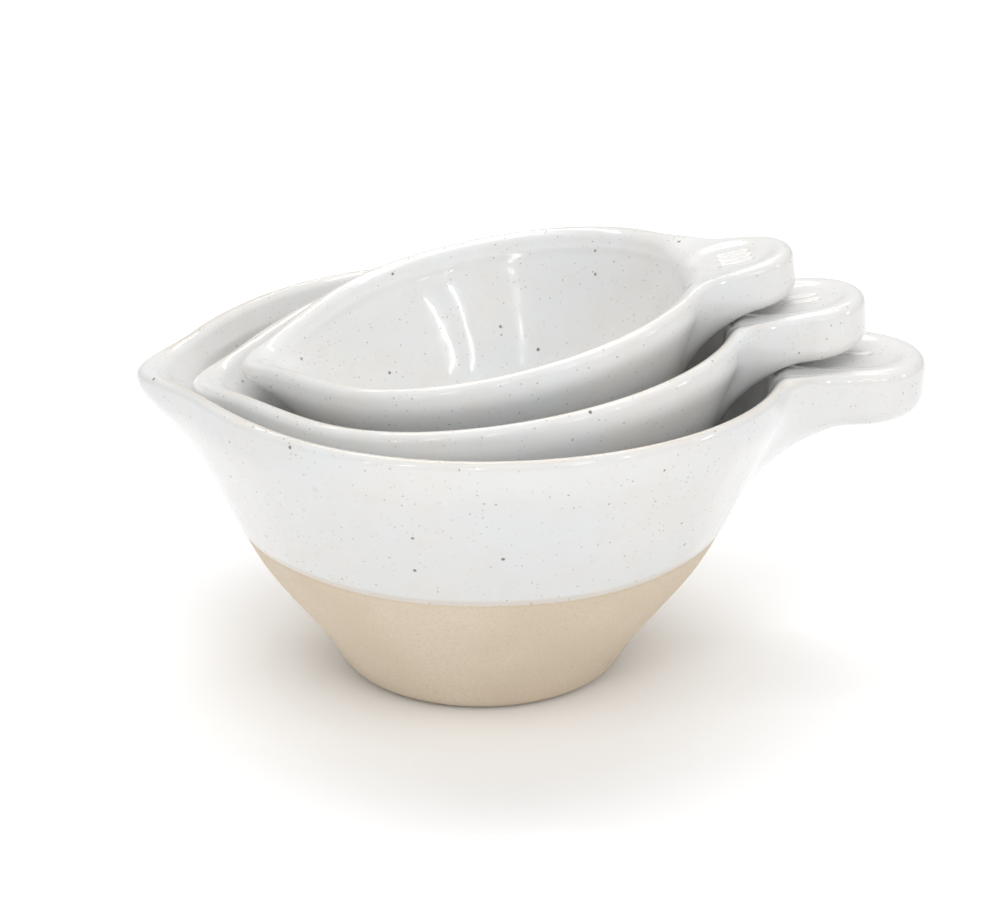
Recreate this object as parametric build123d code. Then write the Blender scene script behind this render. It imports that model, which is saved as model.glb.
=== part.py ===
"""Three stoneware measuring cups that nest, each with a pinched spout and a tab handle.

Each cup is drawn in its own frame: the foot stands on z = 0, the axis is +Z, the handle
points to +X and the spout to -X. The two smaller cups are then tipped and stacked in the
largest one, so that each handle lies on the handle below. A cup is a fired clay body and
the glaze coat fused to it. Lengths are millimetres and angles are degrees.
"""
from build123d import *
import os
from collections import namedtuple
from math import cos, exp, hypot, log1p, radians, sin

# ---- bowl of the largest cup ----
HEIGHT = 57.3
FOOT_RADIUS = 24.1
WALL = 4.4
FLOOR = 5.6
FOOT_ROUND = 2.0
INNER_CORNER = 9.0          # round between floor and wall inside
CREST_OUTER_ROUND = 1.7
CREST_INNER_ROUND = 0.5
BEVEL_HEIGHT = 3.4          # the hollow widens just below the brim
BEVEL_SLOPE = 0.53
BEVEL_SOFT = 0.3

# outer wall: slope (radius gained for each millimetre of height) of each stretch,
# and the height and softness of each bend between two stretches
FOOT_SLOPE = 0.58
BELLY_SLOPE = 0.79
WALL_SLOPE = 0.476
WAIST_HEIGHT, WAIST_SOFT = 6.8, 0.8
SHOULDER_HEIGHT, SHOULDER_SOFT = 22.0, 1.9
BRIM_HEIGHT, BRIM_SOFT = 52.0, 1.2

# spout: how fast it grows out of the wall, between which heights, and its half angle
SPOUT_SLOPE = 0.62
SPOUT_START, SPOUT_START_SOFT = 44.2, 3.0
SPOUT_END, SPOUT_END_SOFT = 53.0, 1.0
SPOUT_ANGLE = 10.4
CHANNEL_SLOPE = 0.89        # inside, the spout is a shallower channel that starts higher
CHANNEL_START, CHANNEL_SOFT = 49.9, 1.2
CHANNEL_ANGLE = 12.0
PINCH_ANGLE, PINCH_SPREAD = 33.0, 24.0  # the brim is drawn in on both sides of the spout

# ---- handle of the largest cup; the others are smaller by their grip scale ----
HANDLE_HALF_WIDTH = 13.2
HANDLE_EDGE = 2.4
NECK_FLARE = 9.0            # round between handle and brim, seen from above
SADDLE_SLOPE = 0.35         # the brim dips to the handle's top at this slope
DISH_DEPTH = 0.6
DISH_MARGIN = 4.4
TALLY_LENGTH, TALLY_WIDTH, TALLY_DEPTH, TALLY_PITCH = 7.5, 1.2, 0.4, 3.0

# ---- glaze ----
GLAZE = 0.4                 # thickness of the coat
GLAZE_LINE = 29.0           # height at which the coat stops outside

SECTION_POINTS = 40
SPOUT_CROWDING = 0.45       # below 1 the section points crowd together at the spout
MARGIN = 20.0               # how far cutting tools run past what they cut

# radial, tall and grip are scales against the largest cup and pinch is the depth of the
# pinch; drop is how far the handle's top is below the brim, thick its thickness, reach
# its end from the axis and root the round under it; marks is its number of tally marks;
# lean tips the handle up; foot_x and foot_z place the foot's middle in the nested set
Cup = namedtuple(
    "Cup", "name radial tall grip pinch drop thick reach root marks lean foot_x foot_z"
)
CUPS = (
    Cup("large_cup", 1.0, 1.0, 1.0, 2.0, 1.8, 10.3, 78.2, 10.0, 1, 0.0, 0.0, 0.0),
    Cup("medium_cup", 0.855, 0.79, 0.86, 3.2, 1.3, 9.2, 66.9, 6.5, 2, 7.0, 5.6, 15.3),
    Cup("small_cup", 0.725, 0.68, 0.76, 3.2, 1.0, 8.4, 54.3, 4.8, 3, 11.4, 7.8, 27.6),
)


def soft_ramp(distance, softness):
    """Zero before a bend and the distance after it, with a rounded start."""
    return softness * log1p(exp(distance / softness))


def wall_radius(height):
    """Outer radius of the largest cup's round wall."""
    radius = FOOT_RADIUS + FOOT_SLOPE * height
    radius += (BELLY_SLOPE - FOOT_SLOPE) * soft_ramp(height - WAIST_HEIGHT, WAIST_SOFT)
    radius += (WALL_SLOPE - BELLY_SLOPE) * soft_ramp(height - SHOULDER_HEIGHT, SHOULDER_SOFT)
    return radius - WALL_SLOPE * soft_ramp(height - BRIM_HEIGHT, BRIM_SOFT)


def pinch(cup, height, turn):
    """How far the wall is drawn in beside the spout, at an angle from the spout."""
    spread = exp(-(((abs(turn) - PINCH_ANGLE) / PINCH_SPREAD) ** 2))
    return cup.pinch * (height / HEIGHT) ** 2 * spread


def outer_radius(cup, height, turn):
    """Outer radius at an angle from the spout, at the largest cup's size."""
    reach = SPOUT_SLOPE * soft_ramp(height - SPOUT_START, SPOUT_START_SOFT)
    reach -= SPOUT_SLOPE * soft_ramp(height - SPOUT_END, SPOUT_END_SOFT)
    spout_shape = exp(-((turn / SPOUT_ANGLE) ** 2))
    return wall_radius(height) - pinch(cup, height, turn) + reach * spout_shape


def inner_radius(cup, height, turn):
    """Radius of the hollow before the wall's thickness is taken off, at that size."""
    bevel = BEVEL_SLOPE * soft_ramp(height - HEIGHT + BEVEL_HEIGHT, BEVEL_SOFT)
    channel = CHANNEL_SLOPE * soft_ramp(height - CHANNEL_START, CHANNEL_SOFT) - bevel
    spout_shape = exp(-((turn / CHANNEL_ANGLE) ** 2))
    return wall_radius(height) - pinch(cup, height, turn) + bevel + channel * spout_shape


def brim(cup):
    return cup.tall * HEIGHT


def handle_top(cup):
    return brim(cup) - cup.drop


def level_share(cup, height):
    """Level thickness of the sloping wall for each millimetre of true thickness."""
    step = 0.5
    gain = wall_radius(height / cup.tall + step) - wall_radius(height / cup.tall - step)
    return hypot(1.0, gain * cup.radial / (2.0 * step * cup.tall))


def section(cup, radius_at, height, inward):
    """Outline of a surface of the cup at a height, moved inward."""
    points = []
    for index in range(SECTION_POINTS):
        share = 2.0 * index / SECTION_POINTS - 1.0
        turn = 180.0 * (SPOUT_CROWDING * share + (1.0 - SPOUT_CROWDING) * share ** 3)
        radius = cup.radial * radius_at(cup, height / cup.tall, turn) - inward
        angle = radians(180.0 + turn)
        points.append((radius * cos(angle), radius * sin(angle), height))
    return Face(Wire([Spline(*points, periodic=True)]))


def outer_block(cup, inset):
    """The outside of the bowl as a full block, moved inward by an inset."""
    top = brim(cup) - inset
    shares = (0.0, 0.05, 0.1, 0.15, 0.22, 0.32, 0.42, 0.55, 0.68, 0.77, 0.84, 0.9, 0.95, 1.0)
    return loft([section(cup, outer_radius, share * top, inset) for share in shares])


def hollow_block(cup, depth):
    """The space at a depth inside the outer wall, from the floor to above the brim."""
    bottom = FLOOR + depth - WALL
    corner = INNER_CORNER * cup.radial
    outlines = []
    for turn in (0.0, 18.0, 36.0, 54.0, 72.0):
        height = bottom + corner * (1.0 - cos(radians(turn)))
        inward = depth * level_share(cup, height) + corner * (1.0 - sin(radians(turn)))
        outlines.append(section(cup, inner_radius, height, inward))
    low = bottom + corner
    rise = brim(cup) + 1.0 - low
    for share in (0.0, 0.18, 0.36, 0.53, 0.68, 0.79, 0.86, 0.91, 0.955, 1.0):
        height = low + share * rise
        inward = depth * level_share(cup, height)
        outlines.append(section(cup, inner_radius, height, inward))
    return loft(outlines)


def bowl(cup, inset):
    """Bowl and spout, moved in from the glazed surface by an inset."""
    shell = outer_block(cup, inset) - hollow_block(cup, WALL - inset)
    crest = shell.faces().sort_by(Axis.Z)[-1]
    shell = fillet(crest.outer_wire().edges(), CREST_OUTER_ROUND - inset)
    crest = shell.faces().sort_by(Axis.Z)[-1]
    shell = fillet(crest.inner_wires()[0].edges(), CREST_INNER_ROUND - inset / 2.0)
    shell = fillet(shell.faces().sort_by(Axis.Z)[0].edges(), FOOT_ROUND)
    return shell - saddle(cup, inset)


def saddle(cup, inset):
    """Tool that lowers the brim to the handle's top where the two meet."""
    top = handle_top(cup) - inset
    half = cup.grip * HANDLE_HALF_WIDTH
    wide = half + MARGIN / SADDLE_SLOPE
    ends = [(-half, top), (half, top), (wide, top + MARGIN), (-wide, top + MARGIN)]
    outline = Polyline(*[(cup.reach, y, z) for y, z in ends], close=True)
    return extrude(Face(Wire(outline)), amount=cup.reach, dir=(-1, 0, 0))


def on_arc(centre, radius, start, end):
    """Point half way along the short arc from start to end."""
    x = (start[0] + end[0]) / 2.0 - centre[0]
    y = (start[1] + end[1]) / 2.0 - centre[1]
    scale = radius / hypot(x, y)
    return (centre[0] + x * scale, centre[1] + y * scale)


def tab_face(cup, inset):
    """The handle from above: a round-ended tab that flares into the brim."""
    half = cup.grip * HANDLE_HALF_WIDTH - inset
    end = cup.reach - inset
    flare = cup.grip * NECK_FLARE + inset
    around = cup.radial * wall_radius(HEIGHT) - inset + flare
    flare_y = half + flare
    flare_x = (around ** 2 - flare_y ** 2) ** 0.5
    share = 1.0 - flare / around
    touch = (flare_x * share, flare_y * share)
    bend = on_arc((flare_x, flare_y), flare, touch, (flare_x, half))
    edges = [
        Line((0.0, 0.0), touch),
        ThreePointArc(touch, bend, (flare_x, half)),
        Line((flare_x, half), (end - half, half)),
        ThreePointArc((end - half, half), (end, 0.0), (end - half, -half)),
        Line((end - half, -half), (flare_x, -half)),
        ThreePointArc((flare_x, -half), (bend[0], -bend[1]), (touch[0], -touch[1])),
        Line((touch[0], -touch[1]), (0.0, 0.0)),
    ]
    return Face(Wire(edges))


def side_face(cup, inset):
    """The handle from the side, with the round that runs down into the wall."""
    top = handle_top(cup) - inset
    under = top + 2.0 * inset - cup.thick
    root = cup.root + inset
    low = under - root
    root_x = cup.radial * wall_radius(low / cup.tall) - inset + root
    corner = (root_x - root * cos(radians(45.0)), low + root * sin(radians(45.0)))
    end = cup.reach + MARGIN
    edges = [
        Line((0.0, low), (root_x - root, low)),
        ThreePointArc((root_x - root, low), corner, (root_x, under)),
        Line((root_x, under), (end, under)),
        Line((end, under), (end, top)),
        Line((end, top), (0.0, top)),
        Line((0.0, top), (0.0, low)),
    ]
    return Plane.XZ * Face(Wire(edges))


def handle(cup, inset):
    """The handle with rounded edges and its dish, cut back to the middle of the wall."""
    top = handle_top(cup) - inset
    block = extrude(tab_face(cup, inset), amount=brim(cup), dir=(0, 0, 1))
    block &= extrude(side_face(cup, inset), amount=2.0 * MARGIN, dir=(0, 1, 0), both=True)
    for level in (top, top + 2.0 * inset - cup.thick):
        rim = [edge for edge in block.edges() if is_handle_edge(cup, edge, level)]
        block = fillet(rim, cup.grip * HANDLE_EDGE - inset)
    block -= dish(cup, inset, top)
    return block - hollow_block(cup, WALL / 2.0)


def is_handle_edge(cup, edge, level):
    """Whether an edge is part of the tab's outline at a level, clear of the bowl."""
    box = edge.bounding_box()
    flat = abs(box.min.Z - level) < 0.01 and abs(box.max.Z - level) < 0.01
    return flat and edge.center().X > 0.55 * cup.reach and box.size.X > 0.5


def dish(cup, inset, top):
    """The shallow hollow in the handle's top and the tally marks pressed into it."""
    half = cup.grip * (HANDLE_HALF_WIDTH - DISH_MARGIN) + inset
    end_x = cup.reach - cup.grip * HANDLE_HALF_WIDTH
    start_x = cup.radial * wall_radius(HEIGHT) + DISH_MARGIN
    middle = (start_x + end_x) / 2.0
    outline = SlotCenterToCenter(max(end_x - start_x, 1.0), 2.0 * half)
    floor_z = top - DISH_DEPTH
    tool = extrude(Pos(middle, 0, floor_z) * outline, amount=MARGIN, dir=(0, 0, 1))
    for mark in range(cup.marks):
        y = (mark - (cup.marks - 1) / 2.0) * TALLY_PITCH * cup.grip
        groove = SlotOverall(TALLY_LENGTH * cup.grip + 2.0 * inset, TALLY_WIDTH + 2.0 * inset)
        tool += extrude(Pos(end_x, y, floor_z - TALLY_DEPTH) * groove, amount=MARGIN, dir=(0, 0, 1))
    return tool


def cup_solid(cup, inset):
    """The whole cup, moved in from its glazed surface by an inset."""
    return bowl(cup, inset) + handle(cup, inset)


def bare_zone(cup):
    """Everything outside the middle of the wall, below the line where the glaze stops."""
    line = GLAZE_LINE * cup.tall
    side = 4.0 * (cup.reach + MARGIN)
    zone = Pos(0, 0, line - side / 2.0) * Box(side, side, side)
    return zone - hollow_block(cup, WALL / 2.0)


def split_cup(cup):
    """Clay body and glaze coat, which meet face to face."""
    whole = cup_solid(cup, 0.0)
    glaze = whole - cup_solid(cup, GLAZE) - bare_zone(cup)
    return whole - glaze, glaze


def nest(cup, solid):
    """Tip a cup, handle up, and put it at its place in the set."""
    return Pos(cup.foot_x, 0, cup.foot_z) * Rot(0, -cup.lean, 0) * solid


def main():
    os.makedirs("parts", exist_ok=True)
    for cup in CUPS:
        body, glaze = split_cup(cup)
        export_step(nest(cup, body), f"parts/{cup.name}_body.step")
        export_step(nest(cup, glaze), f"parts/{cup.name}_glaze.step")


if __name__ == "__main__":
    main()
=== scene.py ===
"""Three nested stoneware measuring cups: speckled gloss glaze over bare clay.

Each cup is worked out as a smooth distance field in its own frame, in millimetres: foot on
z = 0, handle to +X, spout to -X. The field gives one mesh for the clay body and one shell for
the glaze, with exact normals. Objects are in metres, in the part's frame.
"""

import math
from collections import namedtuple

import bmesh
import bpy
import numpy as np
from mathutils import Matrix, Vector


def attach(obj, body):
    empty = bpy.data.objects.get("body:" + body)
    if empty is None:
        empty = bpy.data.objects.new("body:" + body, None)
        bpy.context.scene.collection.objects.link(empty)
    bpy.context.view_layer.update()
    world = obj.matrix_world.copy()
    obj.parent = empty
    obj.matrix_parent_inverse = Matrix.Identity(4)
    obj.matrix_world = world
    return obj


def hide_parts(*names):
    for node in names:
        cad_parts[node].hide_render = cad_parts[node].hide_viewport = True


MM = 0.001

# ---- the largest cup's bowl (mm), as in the CAD part ----
HEIGHT = 57.3
FOOT_RADIUS = 24.1
FOOT_ROUND = 2.0
WALL = 4.4
FLOOR = 5.6
INNER_CORNER = 9.0
CREST_OUTER_ROUND = 1.7
CREST_INNER_ROUND = 1.5
BEVEL_HEIGHT, BEVEL_SLOPE, BEVEL_SOFT = 4.4, 0.53, 0.25
FOOT_SLOPE, BELLY_SLOPE, WALL_SLOPE = 0.58, 0.79, 0.476
WAIST_HEIGHT, WAIST_SOFT = 6.8, 0.8
SHOULDER_HEIGHT, SHOULDER_SOFT = 22.0, 1.9
BRIM_HEIGHT, BRIM_SOFT = 52.0, 1.2

SPOUT_SLOPE, SPOUT_ANGLE = 0.62, 10.4
SPOUT_START, SPOUT_START_SOFT = 44.2, 3.0
SPOUT_END, SPOUT_END_SOFT = 53.0, 1.0
SPOUT_DIP_ANGLE = 14.0
CHANNEL_SLOPE, CHANNEL_ANGLE = 0.89, 12.0
CHANNEL_START, CHANNEL_SOFT = 49.9, 1.2
PINCH_ANGLE, PINCH_SPREAD = 33.0, 24.0

# ---- handle ----
HANDLE_HALF_WIDTH = 13.2
HANDLE_TOP_EDGE, HANDLE_LOW_EDGE = 2.4, 3.4
SADDLE_SLOPE, SADDLE_SOFT = 0.35, 1.0
NO_SADDLE = 5.0              # above the brim, on the spout's side
BRIM_BLEND = 0.35
NECK_FLARE = 12.5
NECK_RISE = 0.6              # share of the handle's thickness over which the neck widens
NECK_INSET = 6.0, 0.5        # how far inside the handle's side the neck starts and ends to widen
TAB_DRAFT = 0.05
HANDLE_EDGE_FADE = -2.0, 6.0  # from the rim, where the handle's top edge takes over
DISH_DEPTH, DISH_MARGIN = 0.6, 4.4
DISH_EDGE, GROOVE_EDGE = (-1.3, 1.6), (-0.3, 0.35)
TALLY_LENGTH, TALLY_WIDTH, TALLY_DEPTH, TALLY_PITCH = 7.5, 1.2, 0.4, 3.0

# ---- glaze ----
GLAZE = 0.36
GLAZE_LINE = 29.0
LINE_WAVES = (0.35, 1.0, 0.8), (0.22, 3.0, 2.1), (0.1, 7.0, 0.0)  # size, count, start
BARE_FADE = 0.1, 0.7         # height above the glaze line over which the clay is drawn in
LEDGE, LEDGE_RISE = 0.16, (6.0, 12.0)

# ---- mesh ----
QUICK_COAT, QUICK_CLAY, FULL_CLAY = 1.6, 2.0, 1.35  # times a cup's grid step
BACK_SHARE = 0.16            # share of the faces kept on the coat's hidden side
SHARP_REACH = 0.7
GRID_ACROSS, GRID_SPOUT = 55.5, 61.0  # the grid's reach to the sides and past the spout
NEAR_LINE = 1e-3             # closer vertices are moved off the glaze line
INNER_GAP = 10.0             # stands for "well above the glaze line" on the inner side
NO_LIP = 20.0                # stands for "far above the glaze line"

Cup = namedtuple(
    "Cup",
    "name radial tall grip pinch drop thick reach root marks lean foot_x foot_z dip step",
)
CUPS = (
    Cup("large_cup", 0.9992, 1.0, 1.0, 2.0, 1.8, 10.3, 78.2, 10.0, 1, 0.0, 0.0, 0.0, 1.3, 0.62),
    Cup("medium_cup", 0.855, 0.79, 0.86, 3.2, 1.3, 9.2, 66.9, 6.5, 2, 7.0, 5.6, 15.3, 0.7, 0.52),
    Cup("small_cup", 0.725, 0.68, 0.76, 3.2, 1.0, 8.4, 54.3, 4.8, 3, 11.4, 7.8, 27.6, 0.9, 0.46),
)


# ---------------------------------------------------------------- shape field
def soft_ramp(distance, softness):
    return softness * np.logaddexp(0.0, distance / softness)


def soft_step(value, low, high):
    t = np.clip((value - low) / (high - low), 0.0, 1.0)
    return t * t * (3.0 - 2.0 * t)


def both(a, b, rounding):
    """Intersection of two fields with a rounded edge."""
    u, v = np.maximum(a + rounding, 0.0), np.maximum(b + rounding, 0.0)
    return np.minimum(np.maximum(a, b), -rounding) + np.hypot(u, v)


def either(a, b, rounding):
    """Union of two fields with a rounded inner corner."""
    u, v = np.maximum(rounding - a, 0.0), np.maximum(rounding - b, 0.0)
    return np.maximum(np.minimum(a, b), rounding) - np.hypot(u, v)


def wall_radius(h):
    radius = FOOT_RADIUS + FOOT_SLOPE * h
    radius += (BELLY_SLOPE - FOOT_SLOPE) * soft_ramp(h - WAIST_HEIGHT, WAIST_SOFT)
    radius += (WALL_SLOPE - BELLY_SLOPE) * soft_ramp(h - SHOULDER_HEIGHT, SHOULDER_SOFT)
    return radius - WALL_SLOPE * soft_ramp(h - BRIM_HEIGHT, BRIM_SOFT)


def pinch(cup, h, turn):
    spread = np.exp(-(((np.abs(turn) - PINCH_ANGLE) / PINCH_SPREAD) ** 2))
    return cup.pinch * np.clip(h / HEIGHT, 0.0, 1.2) ** 2 * spread


def spout(h, turn):
    reach = soft_ramp(h - SPOUT_START, SPOUT_START_SOFT) - soft_ramp(h - SPOUT_END, SPOUT_END_SOFT)
    return SPOUT_SLOPE * reach * np.exp(-((turn / SPOUT_ANGLE) ** 2))


def inner_flare(h, turn):
    bevel = BEVEL_SLOPE * soft_ramp(h - HEIGHT + BEVEL_HEIGHT, BEVEL_SOFT)
    channel = CHANNEL_SLOPE * soft_ramp(h - CHANNEL_START, CHANNEL_SOFT) - bevel
    return bevel + channel * np.exp(-((turn / CHANNEL_ANGLE) ** 2))


def brim(cup):
    return cup.tall * HEIGHT


def handle_top(cup):
    return brim(cup) - cup.drop


def slot_distance(x, y, start, end, half):
    """Plan distance to a round-ended slot along X."""
    return np.hypot(x - np.clip(x, start, end), y) - half


def level(cup, x, y, turn):
    """Height of the upper surface: brim, dip at the spout, saddle and dished handle."""
    top = handle_top(cup)
    half = cup.grip * HANDLE_HALF_WIDTH
    saddle = top + SADDLE_SLOPE * soft_ramp(np.abs(y) - half, SADDLE_SOFT)
    saddle = np.where(x > 0.0, saddle, brim(cup) + NO_SADDLE)
    high = brim(cup) - soft_ramp(brim(cup) - saddle, BRIM_BLEND)
    high -= cup.dip * np.exp(-((turn / SPOUT_DIP_ANGLE) ** 2))
    end = cup.reach - half
    start = cup.radial * wall_radius(HEIGHT) + DISH_MARGIN
    dish = slot_distance(x, y, min(start, end - 1.0), end, half - cup.grip * DISH_MARGIN)
    high -= DISH_DEPTH * soft_step(-dish, *DISH_EDGE)
    for mark in range(cup.marks):
        middle = (mark - (cup.marks - 1) / 2.0) * TALLY_PITCH * cup.grip
        reach = (TALLY_LENGTH * cup.grip - TALLY_WIDTH) / 2.0
        groove = slot_distance(x, y - middle, end - reach, end + reach, TALLY_WIDTH / 2.0)
        high -= TALLY_DEPTH * soft_step(-groove, *GROOVE_EDGE)
    return high


def outer_side(cup, x, y, z):
    """Field of the bowl's outer wall alone, with the angle from the spout."""
    h = z / cup.tall
    turn = np.degrees(np.arctan2(-y, -x))
    gain = (wall_radius(h + 0.5) - wall_radius(h - 0.5)) * cup.radial / cup.tall
    share = np.sqrt(1.0 + gain * gain)
    radius = cup.radial * (wall_radius(h) - pinch(cup, h, turn) + spout(h, turn))
    return (np.hypot(x, y) - radius) / share, share, turn, h


def cup_field(cup, x, y, z):
    """Negative inside the cup, close to true distance near its surface."""
    outer, share, turn, h = outer_side(cup, x, y, z)
    top = handle_top(cup)
    half = cup.grip * HANDLE_HALF_WIDTH
    tab = slot_distance(x, y, 0.0, cup.reach - half, half)
    tab += TAB_DRAFT * (top - z)
    tab = both(tab, top - cup.thick - z, cup.grip * HANDLE_LOW_EDGE)
    low = top - cup.thick
    above = soft_step(z, low, low + NECK_RISE * cup.thick)
    beside = soft_step(np.abs(y), half - NECK_INSET[0], half - NECK_INSET[1])
    beside = np.maximum(above, beside)
    neck = cup.root + (cup.grip * NECK_FLARE - cup.root) * beside
    side = either(outer, tab, neck)
    rim = cup.radial * wall_radius(HEIGHT)
    on_handle = soft_step(x, rim + HANDLE_EDGE_FADE[0], rim + HANDLE_EDGE_FADE[1])
    edge = CREST_OUTER_ROUND + (cup.grip * HANDLE_TOP_EDGE - CREST_OUTER_ROUND) * on_handle
    solid = both(side, z - level(cup, x, y, turn), edge)
    hollow = cup.radial * (wall_radius(h) - pinch(cup, h, turn) + inner_flare(h, turn)) - WALL * share
    hollow = (np.hypot(x, y) - hollow) / share
    hollow = both(hollow, FLOOR - z, INNER_CORNER * cup.radial)
    solid = both(solid, -hollow, CREST_INNER_ROUND)
    return both(solid, -z, FOOT_ROUND)


def glaze_line(cup, x, y):
    """Height at which the glaze stops outside: nearly level, as a dipped coat is."""
    turn = np.arctan2(y, x)
    wave = sum(size * np.sin(count * turn + start) for size, count, start in LINE_WAVES)
    return GLAZE_LINE * cup.tall + wave * cup.tall


def is_outside(cup, x, y, z):
    """Whether a surface point is on the outer side of the wall.

    The middle of the foot's underside is too far from the wall and counts as the inner side.
    """
    return outer_side(cup, x, y, z)[0] > -WALL / 2.0


def body_field(cup, x, y, z):
    """The clay: drawn in under the glaze, and less so where it is bare."""
    outer = outer_side(cup, x, y, z)[0]
    bare = 1.0 - soft_step(z - glaze_line(cup, x, y), *BARE_FADE)
    bare = bare * soft_step(outer, -0.6 * WALL, -0.4 * WALL)
    ledge = LEDGE * soft_step(z, *LEDGE_RISE)
    return cup_field(cup, x, y, z) + GLAZE * (1.0 - bare) + ledge * bare


# ---------------------------------------------------------------- meshing
def spaced(low, high, step):
    return np.arange(low - 2.5 * step, high + 2.5 * step, step)


def surface_net(field, axes):
    """Quads on the field's zero surface: one vertex in each cell that it crosses."""
    value = field(*np.meshgrid(*axes, indexing="ij"))
    inside = value < 0.0
    count = np.zeros([n - 1 for n in value.shape], np.int8)
    offsets = [(i, j, k) for i in (0, 1) for j in (0, 1) for k in (0, 1)]
    size = count.shape
    for i, j, k in offsets:
        count += inside[i:i + size[0], j:j + size[1], k:k + size[2]]
    cells = np.argwhere((count > 0) & (count < 8))
    places = np.stack([axes[a][cells[:, a]] for a in range(3)], 1)
    spans = np.stack([axes[a][cells[:, a] + 1] for a in range(3)], 1) - places
    corner = {o: value[cells[:, 0] + o[0], cells[:, 1] + o[1], cells[:, 2] + o[2]] for o in offsets}
    total, hits = np.zeros(places.shape), np.zeros(len(cells))
    for first in offsets:
        for axis in range(3):
            if first[axis]:
                continue
            second = tuple(1 if a == axis else first[a] for a in range(3))
            a, b = corner[first], corner[second]
            cross = (a < 0.0) != (b < 0.0)
            t = np.where(cross, a / np.where(cross, a - b, 1.0), 0.0)
            point = np.tile(np.array(first, float), (len(cells), 1))
            point[:, axis] += t
            total += point * cross[:, None]
            hits += cross
    vertices = places + spans * total / hits[:, None]
    index = np.full(size, -1, np.int64)
    index[tuple(cells.T)] = np.arange(len(cells))
    faces = []
    for axis in range(3):
        b, c = (axis + 1) % 3, (axis + 2) % 3
        near = [slice(1, -1)] * 3
        near[axis] = slice(0, -1)
        far = list(near)
        far[axis] = slice(1, None)
        one, two = inside[tuple(near)], inside[tuple(far)]
        edge = np.argwhere(one != two)
        start = edge + np.array([0 if a == axis else 1 for a in range(3)])
        flip = one[tuple(edge.T)]
        ring = []
        for db, dc in ((-1, -1), (0, -1), (0, 0), (-1, 0)):
            cell = start.copy()
            cell[:, b] += db
            cell[:, c] += dc
            ring.append(index[tuple(cell.T)])
        quad = np.stack(ring, 1)
        quad[~flip] = quad[~flip][:, ::-1]
        faces.append(quad)
    return vertices, np.concatenate(faces)


def gradient(field, points, reach=0.03):
    result = np.zeros(points.shape)
    for axis in range(3):
        shift = np.zeros(3)
        shift[axis] = reach
        result[:, axis] = (field(*(points + shift).T) - field(*(points - shift).T)) / (2.0 * reach)
    return result


def settle(field, vertices, rounds=3):
    """Moves vertices onto the surface and gives its unit normals."""
    for _ in range(rounds):
        slope = gradient(field, vertices)
        square = np.maximum((slope ** 2).sum(1), 0.05)
        vertices = vertices - slope * (field(*vertices.T) / square)[:, None]
    slope = gradient(field, vertices)
    return vertices, slope / np.linalg.norm(slope, axis=1)[:, None]


def sharpness(field, points):
    """How convex the surface is, in 1/mm: high along edges."""
    total = -6.0 * field(*points.T)
    for axis in range(3):
        for sign in (-1.0, 1.0):
            shift = np.zeros(3)
            shift[axis] = sign * SHARP_REACH
            total += field(*(points + shift).T)
    return total / SHARP_REACH ** 2


def tipped(cup, vectors):
    """Turns vectors from a cup's own frame to the part's frame."""
    turn = math.radians(cup.lean)
    x, y, z = vectors.T
    along = x * math.cos(turn) - z * math.sin(turn)
    up = x * math.sin(turn) + z * math.cos(turn)
    return np.stack([along, y, up], 1)


def mesh_object(cup, name, vertices, faces, normals, attributes):
    """A piece at its cup's place in the nest, which remembers its own coordinates."""
    mesh = bpy.data.meshes.new(name)
    placed = tipped(cup, vertices) + np.array([cup.foot_x, 0.0, cup.foot_z])
    mesh.from_pydata((placed * MM).tolist(), [], faces)
    mesh.update()
    mesh.polygons.foreach_set("use_smooth", np.ones(len(mesh.polygons), bool))
    mesh.normals_split_custom_set_from_vertices(tipped(cup, normals).tolist())
    own = mesh.attributes.new("own", "FLOAT_VECTOR", "POINT")
    own.data.foreach_set("vector", (vertices * MM).astype(np.float32).ravel())
    for key, values in attributes.items():
        layer = mesh.attributes.new(key, "FLOAT", "POINT")
        layer.data.foreach_set("value", values.astype(np.float32))
    obj = bpy.data.objects.new(name, mesh)
    bpy.context.scene.collection.objects.link(obj)
    return obj


def cup_axes(cup, step):
    across = cup.radial * GRID_ACROSS
    return (
        spaced(-cup.radial * GRID_SPOUT, cup.reach + 1.0, step),
        spaced(-across, across, step),
        spaced(0.0, brim(cup) + 0.5, step),
    )


def trimmed(cup, vertices, faces):
    """Triangles and quads of the glazed side only, cut along the glaze line."""
    gap = vertices[:, 2] - glaze_line(cup, vertices[:, 0], vertices[:, 1])
    gap = np.where(is_outside(cup, *vertices.T), gap, INNER_GAP)
    gap[np.abs(gap) < NEAR_LINE] = NEAR_LINE
    kept = (gap[faces] > 0.0).sum(1)
    whole = faces[kept == 4].tolist()
    points = list(vertices)
    made = {}

    def crossing(a, b):
        key = (min(a, b), max(a, b))
        if key not in made:
            t = gap[key[0]] / (gap[key[0]] - gap[key[1]])
            points.append(vertices[key[0]] + t * (vertices[key[1]] - vertices[key[0]]))
            made[key] = len(points) - 1
        return made[key]

    for quad in faces[(kept > 0) & (kept < 4)].tolist():
        part = []
        for a, b in zip(quad, quad[1:] + quad[:1]):
            if gap[a] > 0.0:
                part.append(a)
            if (gap[a] > 0.0) != (gap[b] > 0.0):
                part.append(crossing(a, b))
        if len(part) > 2:
            whole.append(part)
    return np.array(points), whole


def compacted(vertices, faces):
    used = np.unique(np.concatenate([np.asarray(f) for f in faces]))
    place_of = np.full(len(vertices), -1)
    place_of[used] = np.arange(len(used))
    return vertices[used], [place_of[f].tolist() for f in faces]


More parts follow.
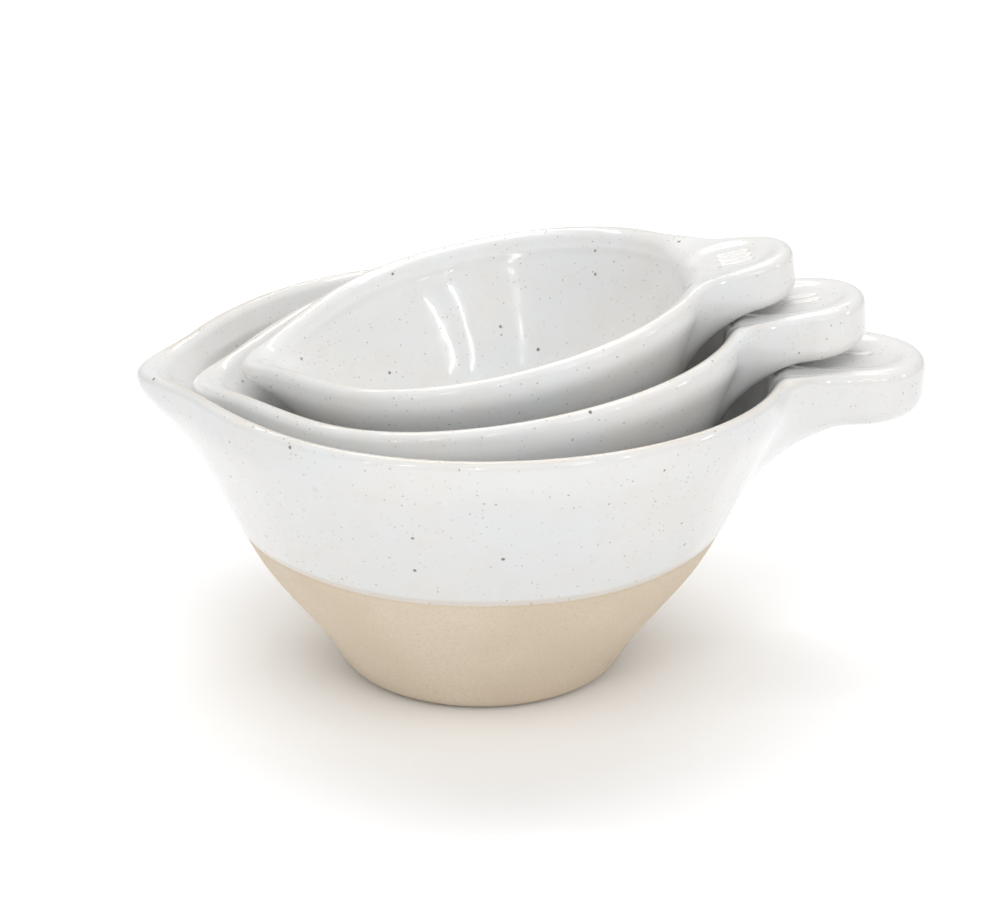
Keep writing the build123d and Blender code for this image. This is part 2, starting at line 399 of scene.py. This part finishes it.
def thinned(vertices, faces, share):
    """The same sheet with fewer faces, for the side that nobody sees."""
    mesh = bpy.data.meshes.new("thinned")
    mesh.from_pydata(vertices.tolist(), [], faces)
    obj = bpy.data.objects.new("thinned", mesh)
    bpy.context.scene.collection.objects.link(obj)
    cut = obj.modifiers.new("cut", "DECIMATE")
    cut.ratio = share
    bpy.context.view_layer.update()
    done = obj.evaluated_get(bpy.context.evaluated_depsgraph_get()).to_mesh()
    points = np.array([v.co[:] for v in done.vertices])
    polygons = [list(p.vertices) for p in done.polygons]
    bpy.data.objects.remove(obj)
    bpy.data.meshes.remove(mesh)
    return points, polygons


def open_edges(mesh):
    return [edge for edge in mesh.edges if edge.is_boundary]


def glaze_shell(cup, field):
    """Coat: the glazed surface, an inner side drawn in by its thickness, and faces between."""
    step = cup.step * 1.0
    vertices, faces = surface_net(field, cup_axes(cup, step))
    vertices, _ = settle(field, vertices)
    front, front_faces = compacted(*trimmed(cup, vertices, faces))
    front, normals = settle(field, front, 1)
    back, back_faces = thinned(front - normals * GLAZE, front_faces, BACK_SHARE)
    count = len(front)
    back_faces = [[count + v for v in face[::-1]] for face in back_faces]
    mesh = bpy.data.meshes.new("shell")
    mesh.from_pydata(np.vstack([front, back]).tolist(), [], front_faces + back_faces)
    work = bmesh.new()
    work.from_mesh(mesh)
    bmesh.ops.bridge_loops(work, edges=open_edges(work))
    bmesh.ops.triangulate(work, faces=[f for f in work.faces if len(f.verts) > 4])
    points = np.array([v.co[:] for v in work.verts])
    polygons = [[v.index for v in f.verts] for f in work.faces]
    work.free()
    bpy.data.meshes.remove(mesh)
    inward = gradient(field, points[count:], 0.1)
    inward = -inward / np.linalg.norm(inward, axis=1)[:, None]
    edge = sharpness(field, points)
    lip = np.where(
        is_outside(cup, *points.T),
        points[:, 2] - glaze_line(cup, points[:, 0], points[:, 1]),
        NO_LIP,
    )
    return mesh_object(
        cup, f"{cup.name}_glaze_coat", points, polygons, np.vstack([normals, inward]),
        {"sharp": edge, "lip": lip},
    )


def clay_body(cup):
    def field(x, y, z):
        return body_field(cup, x, y, z)

    step = cup.step * FULL_CLAY
    vertices, faces = surface_net(field, cup_axes(cup, step))
    vertices, normals = settle(field, vertices)
    lip = vertices[:, 2] - glaze_line(cup, vertices[:, 0], vertices[:, 1])
    return mesh_object(
        cup, f"{cup.name}_clay", vertices, faces.tolist(), normals,
        {"sharp": sharpness(field, vertices), "lip": lip},
    )


# ---------------------------------------------------------------- materials
WARP_SCALE, WARP_SIZE = 2600.0, 0.00022  # makes the specks uneven; size in metres


class Graph:
    """Short calls for building one material's nodes."""

    def __init__(self, name):
        self.material = bpy.data.materials.new(name)
        self.material.use_nodes = True
        self.nodes = self.material.node_tree.nodes
        self.links = self.material.node_tree.links
        self.shader = self.nodes["Principled BSDF"]
        own = self.nodes.new("ShaderNodeAttribute")
        own.attribute_name = "own"
        self.where = own.outputs["Vector"]

    def link(self, value, socket):
        if isinstance(value, bpy.types.NodeSocket):
            self.links.new(value, socket)
        else:
            socket.default_value = value

    def node(self, kind, inputs, **settings):
        made = self.nodes.new(kind)
        for key, value in settings.items():
            setattr(made, key, value)
        for key, value in inputs.items():
            self.link(value, made.inputs[key])
        return made

    def noise(self, scale, detail, rough=0.5, vector=None):
        made = self.node(
            "ShaderNodeTexNoise",
            {"Vector": vector or self.where, "Scale": scale, "Detail": detail, "Roughness": rough},
        )
        return made.outputs["Fac"]

    def ramp(self, value, low, high, start=0.0, end=1.0):
        made = self.node(
            "ShaderNodeMapRange",
            {"Value": value, "From Min": low, "From Max": high, "To Min": start, "To Max": end},
            interpolation_type="SMOOTHSTEP",
        )
        return made.outputs["Result"]

    def math(self, operation, a, b):
        made = self.node("ShaderNodeMath", {0: a, 1: b}, operation=operation)
        return made.outputs[0]

    def mix(self, share, a, b):
        made = self.nodes.new("ShaderNodeMix")
        made.data_type = "RGBA"
        self.link(share, made.inputs[0])
        self.link(a, made.inputs[6])
        self.link(b, made.inputs[7])
        return made.outputs[2]

    def attribute(self, name):
        return self.node("ShaderNodeAttribute", {}, attribute_name=name).outputs["Fac"]

    def specks(self, cell_mm, radius_mm, soft_mm, keep):
        """Dots at scattered points: distance to them, with their size varied at random."""
        warp = self.node(
            "ShaderNodeTexNoise", {"Vector": self.where, "Scale": WARP_SCALE, "Detail": 1.0}
        ).outputs["Color"]
        moved = self.node(
            "ShaderNodeVectorMath", {0: warp, "Scale": WARP_SIZE}, operation="SCALE"
        ).outputs[0]
        moved = self.node(
            "ShaderNodeVectorMath", {0: self.where, 1: moved}, operation="ADD"
        ).outputs[0]
        cells = self.node(
            "ShaderNodeTexVoronoi", {"Vector": moved, "Scale": 1000.0 / cell_mm}
        )
        parts = self.node("ShaderNodeSeparateColor", {"Color": cells.outputs["Color"]})
        size = self.ramp(parts.outputs[0], 0.0, 1.0, 0.45, 1.0)
        edge = self.math("MULTIPLY", size, radius_mm / cell_mm)
        away = self.math("SUBTRACT", edge, cells.outputs["Distance"])
        dot = self.ramp(away, 0.0, soft_mm / cell_mm)
        shown = self.math("LESS_THAN", parts.outputs[1], keep)
        return self.math("MULTIPLY", dot, shown), parts.outputs[2]

    def bump(self, height, distance, strength, below=None):
        inputs = {"Height": height, "Distance": distance, "Strength": strength}
        if below is not None:
            inputs["Normal"] = below
        return self.node("ShaderNodeBump", inputs).outputs["Normal"]


def linear(r, g, b):
    """Linear colour from the usual 0 to 255 display values."""
    return tuple(
        c / 12.92 if c <= 0.04045 else ((c + 0.055) / 1.055) ** 2.4
        for c in (r / 255.0, g / 255.0, b / 255.0)
    ) + (1.0,)


WHITE_GLAZE = (226, 225, 223)
COOL_GLAZE = (223, 225, 225)
WARM_GLAZE = (223, 217, 210)
THIN_GLAZE = (204, 188, 168)


def glaze_material(name, seed):
    g = Graph(name)
    broad = g.ramp(g.noise(38.0 + seed, 3.0), 0.35, 0.68)
    cloudy = g.ramp(g.noise(210.0 + seed, 4.0, 0.6), 0.4, 0.75)
    colour = g.mix(broad, linear(*WHITE_GLAZE), linear(*COOL_GLAZE))
    colour = g.mix(g.math("MULTIPLY", cloudy, 0.35), colour, linear(*WARM_GLAZE))
    patchy = g.noise(160.0, 3.0)
    thin = g.ramp(g.math("ADD", g.attribute("sharp"), g.math("MULTIPLY", patchy, 0.5)), 0.75, 1.6)
    colour = g.mix(g.math("MULTIPLY", thin, 0.5), colour, linear(*THIN_GLAZE))
    lip = g.ramp(g.attribute("lip"), 0.9, 0.05)
    colour = g.mix(g.math("MULTIPLY", lip, 0.45), colour, linear(*THIN_GLAZE))
    halo, _ = g.specks(9.0, 1.1, 1.0, 0.8)
    colour = g.mix(g.math("MULTIPLY", halo, 0.28), colour, linear(196, 176, 150))
    fine, tint = g.specks(0.95, 0.24, 0.16, 0.85)
    dark = g.mix(tint, linear(150, 132, 116), linear(104, 96, 92))
    colour = g.mix(g.math("MULTIPLY", fine, g.ramp(tint, 0.0, 1.0, 0.2, 0.6)), colour, dark)
    coarse, tint = g.specks(4.6, 0.42, 0.2, 0.8)
    dark = g.mix(tint, linear(120, 98, 80), linear(70, 66, 66))
    colour = g.mix(g.math("MULTIPLY", coarse, 0.85), colour, dark)
    g.link(colour, g.shader.inputs["Base Color"])
    rough = g.ramp(g.noise(330.0, 2.0), 0.3, 0.7, 0.09, 0.17)
    rough = g.math("ADD", rough, g.math("MULTIPLY", coarse, 0.25))
    g.link(rough, g.shader.inputs["Roughness"])
    wavy = g.bump(g.noise(95.0, 2.0), 0.0006, 0.22)
    pits, _ = g.specks(2.6, 0.24, 0.2, 0.5)
    pitted = g.bump(g.math("SUBTRACT", 1.0, pits), 0.00012, 0.6, wavy)
    raised = g.bump(g.math("ADD", fine, coarse), 0.00006, 0.5, pitted)
    g.link(raised, g.shader.inputs["Normal"])
    g.shader.inputs["IOR"].default_value = 1.52
    g.shader.inputs["Specular IOR Level"].default_value = 0.5
    g.shader.inputs["Coat Weight"].default_value = 0.35
    g.shader.inputs["Coat Roughness"].default_value = 0.03
    return g.material


def clay_material(name, seed):
    g = Graph(name)
    broad = g.ramp(g.noise(30.0 + seed, 3.0), 0.35, 0.7)
    grain = g.noise(2400.0, 3.0, 0.65)
    colour = g.mix(broad, linear(222, 209, 189), linear(214, 199, 178))
    colour = g.mix(g.ramp(grain, 0.42, 0.78, 0.0, 0.55), colour, linear(198, 181, 157))
    pale, _ = g.specks(1.6, 0.3, 0.25, 0.6)
    colour = g.mix(g.math("MULTIPLY", pale, 0.3), colour, linear(233, 224, 209))
    rust, tint = g.specks(3.6, 0.3, 0.18, 0.7)
    dark = g.mix(tint, linear(150, 117, 86), linear(114, 102, 90))
    colour = g.mix(g.math("MULTIPLY", rust, 0.5), colour, dark)
    stain = g.ramp(g.attribute("lip"), -1.6, 0.0, 0.0, 0.35)
    colour = g.mix(stain, colour, linear(196, 176, 150))
    g.link(colour, g.shader.inputs["Base Color"])
    g.link(g.ramp(grain, 0.3, 0.7, 0.72, 0.92), g.shader.inputs["Roughness"])
    across = g.node("ShaderNodeMapping", {"Vector": g.where, "Scale": (0.02, 0.02, 1.0)})
    rings = g.noise(900.0, 2.0, 0.6, across.outputs[0])
    turned = g.bump(rings, 0.00012, 0.35)
    gritty = g.bump(grain, 0.00008, 0.5, turned)
    g.link(gritty, g.shader.inputs["Normal"])
    g.shader.inputs["Specular IOR Level"].default_value = 0.32
    return g.material


# ---------------------------------------------------------------- cups
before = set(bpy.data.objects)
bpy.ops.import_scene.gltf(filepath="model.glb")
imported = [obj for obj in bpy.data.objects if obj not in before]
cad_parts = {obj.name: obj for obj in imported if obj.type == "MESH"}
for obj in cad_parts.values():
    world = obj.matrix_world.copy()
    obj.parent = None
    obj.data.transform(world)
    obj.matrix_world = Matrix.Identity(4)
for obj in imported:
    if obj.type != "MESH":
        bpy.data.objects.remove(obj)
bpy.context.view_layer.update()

for number, cup in enumerate(CUPS):
    def field(x, y, z, cup=cup):
        return cup_field(cup, x, y, z)

    coat = glaze_shell(cup, field)
    coat.data.materials.append(glaze_material(f"{cup.name}_glaze_look", 3.0 * number))
    clay = clay_body(cup)
    clay.data.materials.append(clay_material(f"{cup.name}_clay_look", 3.0 * number))
    for piece, node, slot in (
        (coat, f"{cup.name}_glaze", "speckled_glaze"),
        (clay, f"{cup.name}_body", "bare_stoneware"),
    ):
        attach(piece, cup.name)
        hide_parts(node)


# ---------------------------------------------------------------- stage
STRIP_AWAY = 1.3             # metres from the nest
STRIP_FILL = 0.86            # share of a row that its parts cover
WORLD_STRENGTH = 0.46
CAMERA_AZIMUTH, CAMERA_ELEVATION, CAMERA_AWAY = -4.7, 20.87, 0.45
CAMERA_LENS, CAMERA_SHIFT = 92.3, 0.019
AIM = Vector((0.0, 0.0, 0.0388))
BEND_STEPS = 12


def floor_sheet():
    """Pale floor that curves up into a backdrop behind the cups."""
    half, back, bend, high = 3.0, 1.6, 0.8, 3.0
    profile = [(-3.0, 0.0), (back, 0.0)]
    for step in range(1, BEND_STEPS + 1):
        turn = math.radians(90.0 * step / BEND_STEPS)
        profile.append((back + bend * math.sin(turn), bend * (1.0 - math.cos(turn))))
    profile.append((back + bend, high))
    points = [(x, y, z) for y, z in profile for x in (-half, half)]
    faces = [(2 * i, 2 * i + 1, 2 * i + 3, 2 * i + 2) for i in range(len(profile) - 1)]
    mesh = bpy.data.meshes.new("floor")
    mesh.from_pydata(points, [], faces)
    mesh.polygons.foreach_set("use_smooth", np.ones(len(faces), bool))
    obj = bpy.data.objects.new("floor", mesh)
    bpy.context.scene.collection.objects.link(obj)
    material = bpy.data.materials.new("floor_look")
    material.use_nodes = True
    shader = material.node_tree.nodes["Principled BSDF"]
    shader.inputs["Base Color"].default_value = (0.97, 0.97, 0.97, 1.0)
    shader.inputs["Roughness"].default_value = 0.9
    shader.inputs["Specular IOR Level"].default_value = 0.1
    mesh.materials.append(material)


def soft_light(name, place_at, look_at, width, height, power, mirrored=True):
    data = bpy.data.lights.new(name, "AREA")
    data.shape = "RECTANGLE"
    data.size, data.size_y = width, height
    data.energy = power
    obj = bpy.data.objects.new(name, data)
    obj.location = place_at
    obj.visible_glossy = mirrored
    away = Vector(place_at) - Vector(look_at)
    obj.rotation_euler = away.to_track_quat("Z", "Y").to_euler()
    bpy.context.scene.collection.objects.link(obj)


def toward(azimuth, elevation):
    """Unit vector; azimuth 0 is the front (-Y) and grows to the right (+X)."""
    turn, rise = math.radians(azimuth), math.radians(elevation)
    flat = math.cos(rise)
    return Vector((math.sin(turn) * flat, -math.cos(turn) * flat, math.sin(rise)))


def strip(name, start, end, width, radiance, parts):
    """Narrow lights in a row from one direction to another; width in degrees."""
    middle = Vector((0.0, 0.0, 0.045))
    first, last = STRIP_AWAY * toward(*start), STRIP_AWAY * toward(*end)
    along = (last - first) / parts
    wide = 2.0 * STRIP_AWAY * math.tan(math.radians(width / 2.0))
    for part in range(parts):
        out = first + (part + 0.5) * along
        back = out.normalized()
        side = (along - along.dot(back) * back).normalized()
        data = bpy.data.lights.new(f"{name}_{part}", "AREA")
        data.shape = "RECTANGLE"
        data.size, data.size_y = along.length * (STRIP_FILL if parts > 1 else 1.0), wide
        data.energy = radiance * math.pi * data.size * data.size_y
        obj = bpy.data.objects.new(f"{name}_{part}", data)
        axes = Matrix((side, back.cross(side), back)).transposed()
        obj.matrix_world = Matrix.Translation(middle + out) @ axes.to_4x4()
        bpy.context.scene.collection.objects.link(obj)


# name, first and last direction (azimuth, elevation), width in degrees, radiance, parts
STRIPS = (
    ("lamp_a", (5.5, 36.8), (11.5, 43.0), 1.0, 17.0, 3),
    ("lamp_b", (22.0, 38.4), (33.0, 41.5), 0.8, 17.0, 3),
    ("lamp_c", (-34.0, 33.0), (-32.0, 35.0), 2.0, 10.0, 1),
    ("low_a", (-8.0, 18.0), (-4.0, 30.0), 2.6, 13.0, 2),
    ("low_b", (-36.0, 19.0), (-32.0, 29.0), 2.6, 13.0, 1),
    ("low_c", (28.0, 18.0), (34.0, 29.0), 2.6, 13.0, 2),
    ("low_d", (46.0, 19.0), (50.0, 29.0), 2.6, 11.0, 1),
    ("low_e", (78.0, 12.0), (84.0, 22.0), 4.0, 9.0, 1),
    ("low_f", (-52.0, 6.0), (-46.0, 16.0), 3.0, 9.0, 1),
)

floor_sheet()
for row in STRIPS:
    strip(*row)
soft_light("fill", (0.0, -1.6, 0.15), (0.0, 0.0, 0.05), 1.8, 0.55, 0.12)
soft_light("top_box", (0.0, 0.35, 1.3), (0.0, 0.0, 0.04), 1.1, 0.8, 4.2)
soft_light("high_front", (0.0, -0.75, 1.2), (0.0, 0.0, 0.05), 0.9, 0.6, 6.0, mirrored=False)
soft_light("back_tube_a", (-0.15, 0.75, 0.95), (0.0, 0.0, 0.04), 1.5, 0.05, 2.6)
soft_light("back_tube_b", (0.0, 0.25, 1.2), (0.0, 0.0, 0.04), 1.5, 0.05, 2.6)

world = bpy.data.worlds.new("studio")
world.use_nodes = True
world.node_tree.nodes["Background"].inputs["Color"].default_value = (1.0, 1.0, 1.0, 1.0)
world.node_tree.nodes["Background"].inputs["Strength"].default_value = WORLD_STRENGTH
bpy.context.scene.world = world

settings = bpy.context.scene.view_settings
settings.view_transform = "Standard"
settings.look = "None"
settings.exposure = 0.0

camera = bpy.data.cameras.new("camera")
camera.lens = CAMERA_LENS
camera.sensor_width = 36.0
camera.shift_x = CAMERA_SHIFT
camera.clip_end = 20.0
eye = bpy.data.objects.new("camera", camera)
bpy.context.scene.collection.objects.link(eye)
back = toward(CAMERA_AZIMUTH, CAMERA_ELEVATION)
eye.location = AIM + CAMERA_AWAY * back
eye.rotation_euler = back.to_track_quat("Z", "Y").to_euler()
bpy.context.scene.camera = eye
